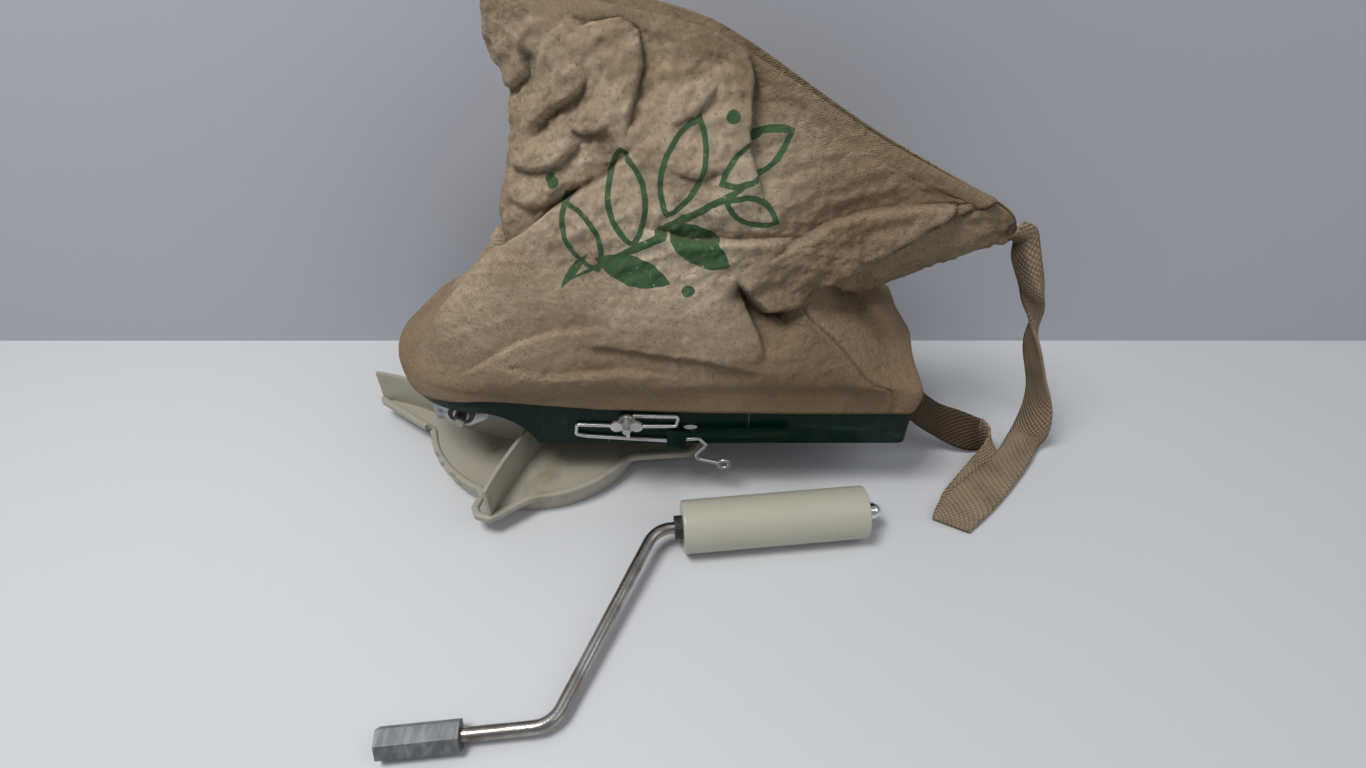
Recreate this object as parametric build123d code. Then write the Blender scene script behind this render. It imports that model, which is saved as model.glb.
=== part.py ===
# Hand-cranked broadcast seed spreader with a canvas seed bag, lying ready on a floor.
# Millimetres. The origin is on the floor below the spinner's axis, +X runs along the
# seed pan away from the spinner, -Y is the side of the crank shaft, +Z is up.
from build123d import *
from math import asin, atan2, cos, degrees, hypot, radians, sin, sqrt
import os

os.makedirs("parts", exist_ok=True)

# Seed pan
PAN_LEFT = -87
PAN_RIGHT = 263
PAN_HALF_WIDTH = 61
PAN_WALL = 1
PAN_BOTTOM = 50
PAN_RIM = 97
PAN_CORNER = 7
SHALLOW_FLOOR = 79
STEP_RADIUS = 43.5
FEED_LEFT = 35
FEED_LENGTH = 24
FEED_WIDTH = 34

# Spinner
SKIRT_FOOT_RADIUS = 79.5
SAUCER_RADIUS = 84
SAUCER_TOP = 19.5
SAUCER_WALL = 2.4
RIM_WIDTH = 5
RIM_HEIGHT = 2.2
RIM_ROUND = 1.7
VANE_TOP = 44.5
VANE_WALL = 2.6
VANE_FOOT_ROUND = 3
HUB_RADIUS = 10
HUB_TOP = 40
SPINDLE_RADIUS = 4
SPINDLE_FOOT = 7

# Gear housing and crank shaft
HOUSING_LEFT = -66
HOUSING_HALF_WIDTH = 24
HOUSING_BOTTOM = 52.5
HOUSING_CORNER = 12
SHAFT_X = -43
SHAFT_Z = 66
SHAFT_RADIUS = 4
SHAFT_CHAMFER = 0.8
SHAFT_FREE_LENGTH = 7.4
JOURNAL_RADIUS = 5.5
NECK_RADIUS = 3.4
NECK_LENGTH = 0.6
SHAFT_IN_HOUSING = 18
SPINDLE_IN_HOUSING = 7.5
RUNNING_CLEARANCE = 0.06
PLATE_FACE = -PAN_HALF_WIDTH + 13.5
PLATE_WALL = 1.5
PLATE_WIDTH = 36
PLATE_FLANGE = 18
GROMMET_RADIUS = 9
GROMMET_PROUD = 2

# Feed gate, its stop wire and wing nut
GATE_WALL = 1.2
GATE_GAP = 0.4
GATE_WIDTH = 46
GATE_LEFT = 32
GATE_TRAVEL = 22
LUG_LEFT = 98
LUG_WIDTH = 13
LUG_TOP = 66
WIRE_RADIUS = 1.3
WIRE_STANDOFF = 0.6
LUG_STANDOFF = 0.8
BAR_LENGTH = 69
BAR_HEIGHT = 6.3
BAR_ROOT_HEIGHT = 4
BAR_FOOT = 60.5
BOLT_X = 72
BOLT_Z = 74.5
BOLT_RADIUS = 2.5
WING_RADIUS = 4.2
WING_WALL = 1.8
WING_LEG_FOOT = 60

# Seed bag and strap
BAG_WALL = 2.5
BAG_CLEARANCE = 0.3
BAG_HEM = 83
BAG_TOP = 334
MOUTH_FOOT = 186
MOUTH_RIGHT = 330
MOUTH_GAP = 10
STRAP_WIDTH = 32
STRAP_THICKNESS = 2.4

# Loose crank
CRANK_THROW = 121
CRANK_HEADING = 6
COUPLER_LENGTH = 45
COUPLER_ACROSS_FLATS = 16
COUPLER_SOCKET = 24
ROD_RADIUS = 4
ROD_RUN = 50
ROD_LEAN = 61
ROD_BEND = 18
GRIP_RADIUS = 18
GRIP_LENGTH = 125
GRIP_EDGE = 1.5
COLLAR_RADIUS = 8
COLLAR_LENGTH = 5
NUT_RADIUS = 6
CRANK_AT = (-58, -247)
SEAT_GAP = 0.3
THROUGH = 400


def save(node, shape):
    """Writes one named piece."""
    export_step(shape, f"parts/{node}.step")


def upright(shape, height, base):
    """A plan outline raised from a base height."""
    return Pos(0, 0, base) * extrude(shape, height)


# Seed pan: a sheet-metal trough, round at the spinner's end. Its floor steps up over
# the gears along an arc, so its wall is a shallow rim there.
def pan_plan(inset):
    """The trough's outline from above, moved inwards by a distance."""
    radius = PAN_HALF_WIDTH - inset
    centre = PAN_LEFT + PAN_HALF_WIDTH
    right = PAN_RIGHT - inset
    straight = Pos((centre + right) / 2, 0) * Rectangle(right - centre, 2 * radius)
    corners = straight.vertices().sort_by(Axis.X)[-2:]
    straight = fillet(corners, PAN_CORNER - inset)
    return straight + Pos(centre, 0) * Circle(radius)


STEP_CENTRE_X = PAN_LEFT + 56
STEP_CENTRE_Z = SHALLOW_FLOOR - STEP_RADIUS


def under_step(rise, bottom, half_width):
    """The space below the shallow floor and its arc, which the gears sit in."""
    radius = STEP_RADIUS + rise
    drop = STEP_CENTRE_Z - bottom
    foot = STEP_CENTRE_X + sqrt(radius ** 2 - drop ** 2)
    crown = STEP_CENTRE_Z + radius
    turn = (radians(90) + atan2(-drop, foot - STEP_CENTRE_X)) / 2
    middle = (STEP_CENTRE_X + radius * cos(turn), STEP_CENTRE_Z + radius * sin(turn))
    far = PAN_LEFT - 10
    with BuildSketch(Plane.XZ) as profile:
        with BuildLine():
            Line((far, bottom), (foot, bottom))
            ThreePointArc((foot, bottom), middle, (STEP_CENTRE_X, crown))
            Line((STEP_CENTRE_X, crown), (far, crown))
            Line((far, crown), (far, bottom))
        make_face()
    return extrude(profile.sketch, half_width, both=True)


pan_block = upright(pan_plan(0), PAN_RIM - PAN_BOTTOM, PAN_BOTTOM)
pan_block -= under_step(0, PAN_BOTTOM - 5, PAN_HALF_WIDTH + 5)
pan_room = upright(pan_plan(PAN_WALL), PAN_RIM, PAN_BOTTOM + PAN_WALL)
pan_room -= under_step(PAN_WALL, PAN_BOTTOM - 5, PAN_HALF_WIDTH + 5)
feed_centre = FEED_LEFT + FEED_LENGTH / 2
feed_hole = Pos(feed_centre, 0, PAN_BOTTOM) * Box(FEED_LENGTH, FEED_WIDTH, 6)
pan = pan_block - pan_room - feed_hole
bolt_hole = Pos(BOLT_X, -PAN_HALF_WIDTH, BOLT_Z) * Rot(90, 0, 0) * Cylinder(BOLT_RADIUS, 10)
pan -= bolt_hole
save("seed_pan", pan)

# Spinner: one moulded saucer with a rolled rim and a skirt, two long and two short
# vanes whose inner ends meet in pairs, and a thin lobe below each vane's tip. Its far
# half is the near half turned by half a turn.
VANE_MEETING = (6, -28)
LONG_VANE = ((-127, 19), (-97, 10), (-62, -8))
SHORT_VANE = ((-22, -100), (-11, -64.5))
LONG_LOBE = ((-44, 48), (-116, 42), (-131, 16), (-60, -34))
SHORT_LOBE = ((30, -65), (-15, -98.5), (-22, -103), (-33, -99.5), (-36.5, -92), (-30, -66))
# Columns: near which corner of the outline (X, Y), and the radius it is rounded to.
OUTLINE_CORNERS = (
    (-116, 42, 12), (-131, 16, 5), (-81.5, -19, 7), (-70.4, 45.8, 12),
    (4.7, -83.9, 16), (-15, -98.5, 4), (-22, -103, 4), (-33, -99.5, 3), (-36.5, -92, 4),
    (-32.8, -77.3, 5),
)
# Chips broken out of the rim. Columns: angle in degrees, chip radius, bite.
RIM_CHIPS = (
    (191, 3.5, 2.2), (198, 6, 1.5), (212, 5, 2.4), (219, 3, 1.8), (229, 7, 1.6),
)


def polar(radius, angle):
    """A point in plan from a radius and an angle in degrees."""
    return (radius * cos(radians(angle)), radius * sin(radians(angle)))


def both_halves(shape):
    """A form and its copy turned by half a turn about the spinner's axis."""
    return shape + Rot(0, 0, 180) * shape


def rounded_outline():
    """The saucer's plan with its lobes, every corner rounded."""
    lobes = make_face(Polyline(*LONG_LOBE, close=True)) + make_face(Polyline(*SHORT_LOBE, close=True))
    outline = Circle(SAUCER_RADIUS) + both_halves(lobes)
    for x, y, radius in OUTLINE_CORNERS:
        for side in (1, -1):
            corner = outline.vertices().sort_by_distance((side * x, side * y, 0))[0]
            outline = fillet(corner, radius)
    return outline


saucer_outline = rounded_outline()
saucer_floor = SAUCER_TOP - RIM_HEIGHT
saucer_underside = saucer_floor - SAUCER_WALL
plate = upright(saucer_outline, SAUCER_TOP - saucer_underside, saucer_underside)
dish = offset(saucer_outline, amount=-RIM_WIDTH, kind=Kind.ARC)
plate -= upright(dish, THROUGH, saucer_floor)
plate = fillet(plate.edges().group_by(Axis.Z)[-1], RIM_ROUND)
with BuildSketch(Plane.XZ) as skirt_profile:
    with BuildLine():
        Polyline(
            (SAUCER_RADIUS - 0.2, saucer_underside + 0.5), (SKIRT_FOOT_RADIUS, 0),
            (SKIRT_FOOT_RADIUS - SAUCER_WALL, 0),
            (SAUCER_RADIUS - 0.2 - SAUCER_WALL, saucer_underside + 0.5), close=True,
        )
    make_face()
spinner = plate + revolve(skirt_profile.sketch, Axis.Z)
long_line = ThreePointArc(*LONG_VANE)
long_line += TangentArc(LONG_VANE[-1], VANE_MEETING, tangent=long_line % 1)
short_line = ThreePointArc(*SHORT_VANE, VANE_MEETING)
vane_plan = both_halves(trace(long_line, VANE_WALL) + trace(short_line, VANE_WALL))
spinner += upright(vane_plan, VANE_TOP - saucer_underside - 1, saucer_underside + 1)
hub_height = HUB_TOP - saucer_underside
spinner += Pos(0, 0, saucer_underside + hub_height / 2) * Cone(HUB_RADIUS + 2, HUB_RADIUS, hub_height)
for angle, chip_radius, bite in RIM_CHIPS:
    chip_place = polar(SAUCER_RADIUS + chip_radius - bite, angle)
    spinner -= Pos(*chip_place, SAUCER_TOP - 2) * Cylinder(chip_radius, 6)
spinner -= Cylinder(SPINDLE_RADIUS, THROUGH)
save("spinner", spinner)

# Spindle: a plain steel rod from the hub up into the gear housing, and the nut that
# holds the spinner on it from below.
spindle_top = HOUSING_BOTTOM + SPINDLE_IN_HOUSING
spindle_length = spindle_top - SPINDLE_FOOT
spindle = Pos(0, 0, SPINDLE_FOOT + spindle_length / 2) * Cylinder(SPINDLE_RADIUS, spindle_length)
save("spindle", spindle)
nut_height = saucer_underside - SPINDLE_FOOT - 1
nut = upright(RegularPolygon(7.5, 6), nut_height, saucer_underside - nut_height)
save("spindle_nut", nut - Cylinder(SPINDLE_RADIUS, THROUGH))

# Gear housing: a closed case under the shallow floor, shaped to the pan's step.
housing_room = under_step(0, HOUSING_BOTTOM, HOUSING_HALF_WIDTH)
housing_right = STEP_CENTRE_X + STEP_RADIUS
housing_length = housing_right - HOUSING_LEFT
housing_plan = Pos(HOUSING_LEFT + housing_length / 2, 0) * RectangleRounded(
    housing_length, 2 * HOUSING_HALF_WIDTH, HOUSING_CORNER
)
housing = housing_room & upright(housing_plan, 40, HOUSING_BOTTOM)
spindle_bore = Pos(0, 0, spindle_top + SEAT_GAP - THROUGH / 2) * Cylinder(
    SPINDLE_RADIUS + RUNNING_CLEARANCE, THROUGH
)
shaft_end = -HOUSING_HALF_WIDTH + SHAFT_IN_HOUSING
shaft_bore = Pos(SHAFT_X, shaft_end + SEAT_GAP - THROUGH / 2, SHAFT_Z) * Rot(90, 0, 0) * Cylinder(
    JOURNAL_RADIUS + RUNNING_CLEARANCE, THROUGH
)
housing = housing - spindle_bore - shaft_bore
save("gear_housing", housing)

# Bearing plate: a bent strip under the shallow floor whose pointed front leg carries
# the crank shaft in a rubber grommet.
plate_top = SHALLOW_FLOOR
with BuildSketch(Plane.XZ) as leg_outline:
    with BuildLine():
        Polyline(
            (SHAFT_X - PLATE_WIDTH / 2, plate_top), (SHAFT_X - PLATE_WIDTH / 2, SHAFT_Z - 5),
            (SHAFT_X + 3, SHAFT_Z - 13), (SHAFT_X + PLATE_WIDTH / 2, SHAFT_Z - 5),
            (SHAFT_X + PLATE_WIDTH / 2, plate_top), close=True,
        )
    make_face()
leg = Pos(0, PLATE_FACE + PLATE_WALL, 0) * extrude(leg_outline.sketch, PLATE_WALL)
flange = Pos(SHAFT_X, PLATE_FACE + PLATE_FLANGE / 2, plate_top - PLATE_WALL / 2) * Box(
    PLATE_WIDTH, PLATE_FLANGE, PLATE_WALL
)
plate_hole = Pos(SHAFT_X, PLATE_FACE, SHAFT_Z) * Rot(90, 0, 0) * Cylinder(
    GROMMET_RADIUS - 1.5, 20
)
plate = (leg + flange - plate_hole) & under_step(0, PAN_BOTTOM, PAN_HALF_WIDTH)
save("bearing_plate", plate)

grommet_line = Pos(SHAFT_X, PLATE_FACE + PLATE_WALL / 2, SHAFT_Z) * Rot(90, 0, 0)
grommet = grommet_line * Cylinder(GROMMET_RADIUS - 1.5, PLATE_WALL + 2 * GROMMET_PROUD)
face_y = PLATE_FACE - GROMMET_PROUD / 2
grommet += Pos(SHAFT_X, face_y, SHAFT_Z) * Rot(90, 0, 0) * Cylinder(GROMMET_RADIUS, GROMMET_PROUD)
grommet -= grommet_line * Cylinder(JOURNAL_RADIUS + RUNNING_CLEARANCE, THROUGH)
save("shaft_grommet", grommet)

# Crank shaft: a thick journal that runs in the grommet and the housing, and in front
# of it, past a small neck, the thinner free end that the crank's socket slips over.
shoulder = PLATE_FACE - GROMMET_PROUD - SEAT_GAP
neck_front = shoulder - NECK_LENGTH
shaft_tip = neck_front - SHAFT_FREE_LENGTH - SHAFT_CHAMFER
with BuildSketch(Plane.XY) as shaft_profile:
    with BuildLine():
        Polyline(
            (0, shaft_tip), (SHAFT_RADIUS - SHAFT_CHAMFER, shaft_tip),
            (SHAFT_RADIUS, shaft_tip + SHAFT_CHAMFER), (SHAFT_RADIUS, neck_front),
            (NECK_RADIUS, neck_front), (NECK_RADIUS, shoulder), (JOURNAL_RADIUS, shoulder),
            (JOURNAL_RADIUS, shaft_end), (0, shaft_end), close=True,
        )
    make_face()
save("crank_shaft", Pos(SHAFT_X, 0, SHAFT_Z) * revolve(shaft_profile.sketch, Axis.Y))

# Feed gate: a flat plate that slides below the pan's floor, with a window, an ear
# under the pan's front edge, a lug turned up before the wall and a long bar on it.
plate_z = PAN_BOTTOM - GATE_GAP - GATE_WALL
lug_right = LUG_LEFT + LUG_WIDTH
gate_length = lug_right - GATE_LEFT
gate = Pos(GATE_LEFT + gate_length / 2, 0, plate_z + GATE_WALL / 2) * Box(
    gate_length, GATE_WIDTH, GATE_WALL
)
window_x = feed_centre + GATE_TRAVEL
window = Pos(window_x + 4, 0, plate_z) * Box(FEED_LENGTH - 4, FEED_WIDTH - 4, 10)
wire_y = -PAN_HALF_WIDTH - WIRE_STANDOFF - WIRE_RADIUS
lug_back = wire_y - WIRE_RADIUS - LUG_STANDOFF
lug_face = lug_back - GATE_WALL
ear_depth = -GATE_WIDTH / 2 + 1 - lug_face
gate += Pos(LUG_LEFT + LUG_WIDTH / 2, lug_face + ear_depth / 2, plate_z + GATE_WALL / 2) * Box(
    LUG_WIDTH, ear_depth, GATE_WALL
)
gate += Pos(LUG_LEFT + LUG_WIDTH / 2, lug_back - GATE_WALL / 2, (plate_z + LUG_TOP) / 2) * Box(
    LUG_WIDTH, GATE_WALL, LUG_TOP - plate_z
)
bar_end = lug_right + BAR_LENGTH
bar_outline = Plane.XZ.offset(-lug_back) * make_face(Polyline(
    (lug_right - 2, BAR_FOOT), (bar_end, BAR_FOOT + 0.5), (bar_end, BAR_FOOT + 0.5 + BAR_HEIGHT),
    (lug_right - 2, BAR_FOOT + BAR_ROOT_HEIGHT), close=True,
))
gate += extrude(bar_outline, GATE_WALL)
save("feed_gate", gate - window)

# Gate rails: two angle strips under the floor that the gate plate slides between.
rail_length = gate_length - 20
rail_start = FEED_LEFT - 4
for node, side in (("gate_rail_front", -1), ("gate_rail_back", 1)):
    rail_y = side * (GATE_WIDTH / 2 + GATE_GAP)
    web = Pos(rail_start + rail_length / 2, rail_y + side * 3, PAN_BOTTOM - 0.8) * Box(
        LUG_LEFT - GATE_TRAVEL - 6 - rail_start if side < 0 else rail_length, 6, 1.6
    )
    if side < 0:
        shorter = LUG_LEFT - GATE_TRAVEL - 6 - rail_start
        web = Pos((shorter - rail_length) / 2, 0, 0) * web
    lip = Pos(0, -side * 3, -(GATE_WALL + GATE_GAP + 0.5)) * web
    save(node, web + lip)

# Stop wire: one bent rod clamped to the wall by the wing nut; its lower run passes
# behind the lug, and its tail ends in a small eye. Columns: X, Z, in bend order.
WIRE_BENDS = (
    (BOLT_X + BOLT_RADIUS + WIRE_RADIUS, BOLT_Z + 3.5), (106, 77), (104.5, 68.3), (BOLT_X, 68.3),
    (38, 70), (36.5, 61), (44, 59), (98, 54.5), (120, 56.5), (125, 50), (118, 40.5),
    (119.5, 36), (134, 31.5),
)
wire_path = Plane.XZ * FilletPolyline(*WIRE_BENDS, radius=2)
wire_start = Plane(origin=wire_path @ 0, z_dir=wire_path % 0)
wire = sweep(wire_start * Circle(WIRE_RADIUS), path=wire_path)
EYE_RADIUS = 3.6
eye = Pos(WIRE_BENDS[-1][0] + EYE_RADIUS, 0, WIRE_BENDS[-1][1] - 1) * Rot(90, 0, 0) * Torus(
    EYE_RADIUS, WIRE_RADIUS
)
save("stop_wire", Pos(0, wire_y, 0) * (wire + eye))

# Wing nut: bolt, washer, two round wings and the clamp's leg that holds the wire down.
wing_y = wire_y - WIRE_RADIUS
bolt_length = 17
bolt = Pos(BOLT_X, -PAN_HALF_WIDTH + 3 - bolt_length / 2, BOLT_Z) * Rot(90, 0, 0) * Cylinder(
    BOLT_RADIUS, bolt_length
)
bolt += Pos(BOLT_X, -PAN_HALF_WIDTH + PAN_WALL + 1, BOLT_Z) * Rot(90, 0, 0) * Cylinder(5, 2)
save("wing_bolt", bolt)
washer = Pos(BOLT_X, wing_y - 0.5, BOLT_Z) * Rot(90, 0, 0) * Cylinder(6, 1)
nut_body = Pos(BOLT_X, wing_y - 4, BOLT_Z) * Rot(90, 0, 0) * Cone(5, 4, 6)
wings = washer + nut_body
for side in (-1, 1):
    wings += Pos(BOLT_X + side * 6.5, wing_y - 6.5, BOLT_Z + 1.5) * Rot(90, 0, side * 25) * Cylinder(
        WING_RADIUS, WING_WALL
    )
    wings += Pos(BOLT_X + side * 3.5, wing_y - 5.2, BOLT_Z) * Box(6, 2.4, 4)
leg_height = BOLT_Z - WING_LEG_FOOT
wings += Pos(BOLT_X, wing_y - 0.9, BOLT_Z - leg_height / 2) * Box(2.4, 1.4, leg_height)
wings -= Pos(BOLT_X, 0, BOLT_Z) * Rot(90, 0, 0) * Cylinder(BOLT_RADIUS, THROUGH)
save("wing_nut", wings)

# Seed bag: a cloth collar around the pan's rim and, above it, a funnel that narrows
# to a long slanted mouth whose lips lie close together.
# Columns: left X, left Z, right X, right Z, half depth, left corner, right corner.
BAG_COLLAR_TOP = PAN_RIM + 3
BAG_SECTIONS = (
    (PAN_LEFT, BAG_COLLAR_TOP, PAN_RIGHT, BAG_COLLAR_TOP, PAN_HALF_WIDTH, PAN_HALF_WIDTH, PAN_CORNER),
    (-66, 136, 245, 128, 59, 50, 12),
    (-8, 225, 268, 163, 36, 34, 20),
    (0, BAG_TOP, MOUTH_RIGHT, MOUTH_FOOT, MOUTH_GAP / 2, MOUTH_GAP / 2, MOUTH_GAP / 2),
)


def bag_section(left, left_z, right, right_z, depth, round_left, round_right, grow):
    """One closed outline of the bag on its own tilted plane, grown by a distance."""
    slope = atan2(right_z - left_z, right - left)
    length = hypot(right - left, right_z - left_z)
    plane = Plane(
        origin=(left, 0, left_z),
        x_dir=(cos(slope), 0, sin(slope)), z_dir=(-sin(slope), 0, cos(slope)),
    )
    half = depth + grow
    near = min(round_left + grow, half - 0.5)
    far = min(round_right + grow, half - 0.5)
    start, end = -grow, length + grow
    diagonal = 1 - sqrt(0.5)
    with BuildSketch(plane) as outline:
        with BuildLine():
            Line((start + near, -half), (end - far, -half))
            ThreePointArc(
                (end - far, -half), (end - far * diagonal, -half + far * diagonal),
                (end, -half + far),
            )
            Line((end, -half + far), (end, half - far))
            ThreePointArc(
                (end, half - far), (end - far * diagonal, half - far * diagonal),
                (end - far, half),
            )
            Line((end - far, half), (start + near, half))
            ThreePointArc(
                (start + near, half), (start + near * diagonal, half - near * diagonal),
                (start, half - near),
            )
            Line((start, half - near), (start, -half + near))
            ThreePointArc(
                (start, -half + near), (start + near * diagonal, -half + near * diagonal),
                (start + near, -half),
            )
        make_face()
    return outline.sketch


def bag_form(grow):
    """The collar and the funnel as one solid, grown by a distance."""
    sections = [bag_section(*row, grow) for row in BAG_SECTIONS]
    collar = extrude(sections[0], BAG_HEM - BAG_COLLAR_TOP)
    return collar + loft(sections)


save("seed_bag", bag_form(BAG_CLEARANCE + BAG_WALL) - bag_form(BAG_CLEARANCE))

# Strap: one length of flat webbing as straight pieces between stations.
# Columns: centre X, Y, Z, then the direction of the strap's width.
STRAP_DROP = (
    (327, -6, 184, 0.9, -0.3, 0.3),
    (332, -8, 165, 0.95, -0.3, 0),
    (343, -6, 120, 0.6, -0.8, 0),
    (356, -2, 80, 0.2, -1, 0),
    (368, -3, 50, 0.6, -0.8, 0),
    (376, -8, 24, 0.95, -0.3, 0.1),
    (374, -22, 8, 0.95, -0.35, 0),
    (358, -45, 3, 0.85, -0.5, 0),
    (334, -68, 1.5, 0.8, -0.6, 0),
    (303, -91, 1.5, 0.75, -0.66, 0),
)
STRAP_RETURN = (
    (303, -91, 4.2, 0.75, -0.66, 0),
    (315, -70, 7, 0.85, -0.5, 0.1),
    (328, -50, 14, 0.6, -0.2, 0.8),
    (327, -36, 22, 0.1, 0, 1),
    (312, -34, 34, 0, 0, 1),
    (290, -38, 50, 0, 0, 1),
    (272, -34, 63, 0, 0, 1),
    (PAN_RIGHT + STRAP_THICKNESS / 2 + 0.1, -16, 65, 0, 0, 1),
    (PAN_RIGHT + STRAP_THICKNESS / 2 + 0.1, 14, 65, 0, 0, 1),
)


def ribbon(stations):
    """A flat strip lofted in straight pieces through its stations."""
    centres = [Vector(*row[:3]) for row in stations]
    slices = []
    for index, row in enumerate(stations):
        before = centres[max(index - 1, 0)]
        after = centres[min(index + 1, len(centres) - 1)]
        along = (after - before).normalized()
        across = Vector(*row[3:])
        across = (across - along * across.dot(along)).normalized()
        plane = Plane(origin=centres[index], x_dir=across, z_dir=along)
        slices.append(plane * Rectangle(STRAP_WIDTH, STRAP_THICKNESS))
    return loft(slices, ruled=True)


save("strap_drop", ribbon(STRAP_DROP))
save("strap_return", ribbon(STRAP_RETURN))

# Loose crank: rod, socket coupler, collar, grip and domed nut, laid out flat along
# its own axis and then set down on the floor, resting on the coupler and the grip.
half_flats = COUPLER_ACROSS_FLATS / 2
half_side = half_flats / sqrt(3)
reach_to_grip = hypot(half_flats, half_side + CRANK_THROW)
tilt = asin(GRIP_RADIUS / reach_to_grip) - atan2(half_flats, half_side + CRANK_THROW)
coupler_height = half_flats * cos(tilt) + half_side * sin(tilt)
crank_place = Pos(*CRANK_AT, coupler_height) * Rot(0, 0, CRANK_HEADING) * Rot(degrees(tilt), 0, 0)
rod_start = COUPLER_SOCKET + 1
corner_x = COUPLER_LENGTH + ROD_RUN
lean_run = CRANK_THROW / sin(radians(ROD_LEAN)) * cos(radians(ROD_LEAN))
grip_start = corner_x + lean_run + 18
grip_end = grip_start + GRIP_LENGTH
rod_path = FilletPolyline(
    (rod_start, 0, 0), (corner_x, 0, 0), (corner_x + lean_run, CRANK_THROW, 0),
    (grip_end + 8, CRANK_THROW, 0), radius=ROD_BEND,
)
rod = sweep(Plane(origin=rod_path @ 0, z_dir=rod_path % 0) * Circle(ROD_RADIUS), path=rod_path)
save("crank_rod", crank_place * rod)

along_x = Rot(0, 90, 0)
flats = RegularPolygon(half_flats, 6, major_radius=False, rotation=30)
coupler = along_x * extrude(flats, COUPLER_LENGTH)
coupler -= along_x * Cylinder(SHAFT_RADIUS + 0.1, 2 * COUPLER_SOCKET)
coupler -= Pos(rod_start + 100, 0, 0) * along_x * Cylinder(ROD_RADIUS, 200)
save("crank_coupler", crank_place * coupler)

collar = Pos(grip_start - COLLAR_LENGTH / 2 - 0.2, CRANK_THROW, 0) * along_x * Cylinder(
    COLLAR_RADIUS, COLLAR_LENGTH
)
collar -= Pos(grip_start, CRANK_THROW, 0) * along_x * Cylinder(ROD_RADIUS, 40)
save("crank_collar", crank_place * collar)

grip = Pos(grip_start + GRIP_LENGTH / 2, CRANK_THROW, 0) * along_x * Cylinder(GRIP_RADIUS, GRIP_LENGTH)
grip = fillet(grip.edges().filter_by(GeomType.CIRCLE), GRIP_EDGE)
grip -= Pos(grip_start + GRIP_LENGTH / 2, CRANK_THROW, 0) * along_x * Cylinder(
    ROD_RADIUS + RUNNING_CLEARANCE, GRIP_LENGTH + 10
)
save("crank_grip", crank_place * grip)

dome = Pos(grip_end + 3.2, CRANK_THROW, 0) * along_x * Cylinder(NUT_RADIUS, 6)
dome += Pos(grip_end + 6.2, CRANK_THROW, 0) * Sphere(NUT_RADIUS - 0.8)
dome -= Pos(grip_end, CRANK_THROW, 0) * along_x * Cylinder(ROD_RADIUS, 16)
save("crank_nut", crank_place * dome)
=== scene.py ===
import math

import bpy
import numpy as np
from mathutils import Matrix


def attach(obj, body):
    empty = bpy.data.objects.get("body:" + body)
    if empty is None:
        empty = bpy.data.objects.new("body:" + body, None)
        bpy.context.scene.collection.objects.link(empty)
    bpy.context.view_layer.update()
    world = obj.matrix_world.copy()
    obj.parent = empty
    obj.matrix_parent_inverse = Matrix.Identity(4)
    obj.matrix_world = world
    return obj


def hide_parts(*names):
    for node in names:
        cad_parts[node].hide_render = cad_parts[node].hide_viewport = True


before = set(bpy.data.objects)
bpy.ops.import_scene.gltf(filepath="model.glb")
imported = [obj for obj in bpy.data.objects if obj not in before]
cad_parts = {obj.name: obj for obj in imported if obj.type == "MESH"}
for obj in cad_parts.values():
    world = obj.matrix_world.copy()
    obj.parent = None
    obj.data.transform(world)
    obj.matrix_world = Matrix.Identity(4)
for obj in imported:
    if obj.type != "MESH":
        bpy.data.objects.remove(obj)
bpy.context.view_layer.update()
bpy.context.scene.view_settings.view_transform = "Standard"

# Camera. It stands where the photograph was taken from, in front of the crank and well
# above it, and looks down along +Y.
CAMERA_PLACE = (0.109, -0.427, 0.438)
CAMERA_TILT = math.radians(47.69)
bpy.ops.object.camera_add(location=CAMERA_PLACE, rotation=(CAMERA_TILT, 0, 0))
camera = bpy.context.object
camera.data.sensor_width = 36
camera.data.lens = 20.37
camera.data.clip_start = 0.01
bpy.context.scene.camera = camera

# Floor and wall. A plain pale floor, and behind the seeder a plain grey wall that only
# shows from the front. Neither belongs to the object.
PLANE_SIZE = 6
FLOOR_PLACE = (0.1, 1.0, -0.0002)
WALL_PLACE = (0.1, 0.112, PLANE_SIZE / 2)
UPRIGHT = math.radians(90)


def plain_finish(name, colour, roughness):
    """A new material of one colour and roughness, and its shader."""
    material = bpy.data.materials.new(name)
    material.use_nodes = True
    shader = material.node_tree.nodes["Principled BSDF"]
    shader.inputs["Base Color"].default_value = (*colour, 1)
    shader.inputs["Roughness"].default_value = roughness
    return material, shader


bpy.ops.mesh.primitive_plane_add(size=PLANE_SIZE, location=FLOOR_PLACE)
floor = bpy.context.object
floor.name = "floor"
bpy.ops.object.transform_apply(location=True)
floor_finish, _ = plain_finish("pale_floor", (0.60, 0.61, 0.62), 0.55)
floor.data.materials.append(floor_finish)

bpy.ops.mesh.primitive_plane_add(size=PLANE_SIZE, location=WALL_PLACE, rotation=(UPRIGHT, 0, 0))
wall = bpy.context.object
wall.name = "wall"
bpy.ops.object.transform_apply(location=True, rotation=True)
wall.visible_shadow = False
wall_finish, wall_shader = plain_finish("grey_wall", (0.46, 0.475, 0.52), 0.6)
wall_tree = wall_finish.node_tree
facing = wall_tree.nodes.new("ShaderNodeNewGeometry")
clear = wall_tree.nodes.new("ShaderNodeBsdfTransparent")
front_only = wall_tree.nodes.new("ShaderNodeMixShader")
wall_tree.links.new(facing.outputs["Backfacing"], front_only.inputs["Fac"])
wall_tree.links.new(wall_shader.outputs["BSDF"], front_only.inputs[1])
wall_tree.links.new(clear.outputs["BSDF"], front_only.inputs[2])
wall_end = wall_tree.nodes["Material Output"]
wall_tree.links.new(front_only.outputs["Shader"], wall_end.inputs["Surface"])
wall.data.materials.append(wall_finish)

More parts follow.
